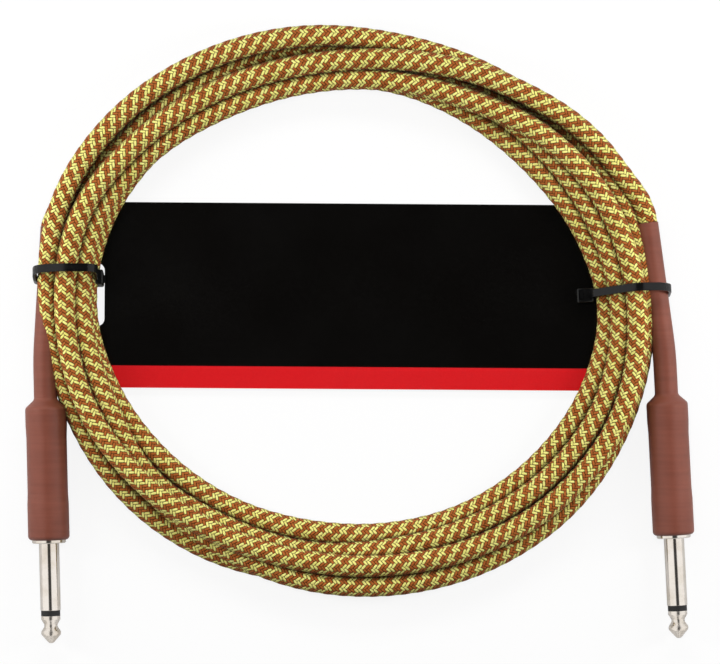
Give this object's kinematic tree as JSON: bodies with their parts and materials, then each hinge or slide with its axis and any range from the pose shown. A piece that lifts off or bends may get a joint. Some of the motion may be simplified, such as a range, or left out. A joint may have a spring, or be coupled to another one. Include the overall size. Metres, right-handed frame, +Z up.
{
  "type": "instrument cable",
  "caption": "Flat oval coil of woven-covered instrument cable with straight phone plugs, held on a slotted card by cable ties.",
  "frame": {"origin": "on the surface that the cable lies on, under the middle of the box round both plugs, the ties and the card", "axes": "+X along the card from the left plug to the right plug, +Y from the plugs' tips towards the coil's far side, +Z up"},
  "size_m": [0.2098, 0.1933, 0.0169],
  "materials": {
    "plug_contact": "bright nickel plating on brass",
    "plug_insulator": "black moulded plastic",
    "terminal": "tinned brass sheet",
    "handle_barrel": "black moulded plastic",
    "shrink_cover": "satin reddish-brown heat-shrink tube",
    "woven_cover": "braided yarns, mustard yellow over reddish brown",
    "cable_jacket": "soft black PVC",
    "cable_copper": "bare copper strands",
    "core_insulation": "white polyethylene",
    "cable_tie": "black nylon, softly shining",
    "carrier_card": "coated card, black with a red band along its lower edge"
  },
  "bodies": {
    "root": {"cable_coil": "woven_cover", "cable_lead": "woven_cover", "carrier_card": "carrier_card", "left_conductor": "cable_copper", "left_core_insulation": "core_insulation", "left_ground_terminal": "terminal", "left_handle_barrel": "handle_barrel", "left_jacket_end": "cable_jacket", "left_rear_insulator": "plug_insulator", "left_screen": "cable_copper", "left_shrink_cover": "shrink_cover", "left_sleeve": "plug_contact", "left_tie": "cable_tie", "left_tip": "plug_contact", "left_tip_insulator": "plug_insulator", "left_tip_terminal": "terminal", "left_woven_end": "woven_cover", "right_conductor": "cable_copper", "right_core_insulation": "core_insulation", "right_ground_terminal": "terminal", "right_handle_barrel": "handle_barrel", "right_jacket_end": "cable_jacket", "right_rear_insulator": "plug_insulator", "right_screen": "cable_copper", "right_shrink_cover": "shrink_cover", "right_sleeve": "plug_contact", "right_tie": "cable_tie", "right_tip": "plug_contact", "right_tip_insulator": "plug_insulator", "right_tip_terminal": "terminal", "right_woven_end": "woven_cover"}
  },
  "joints": []
}
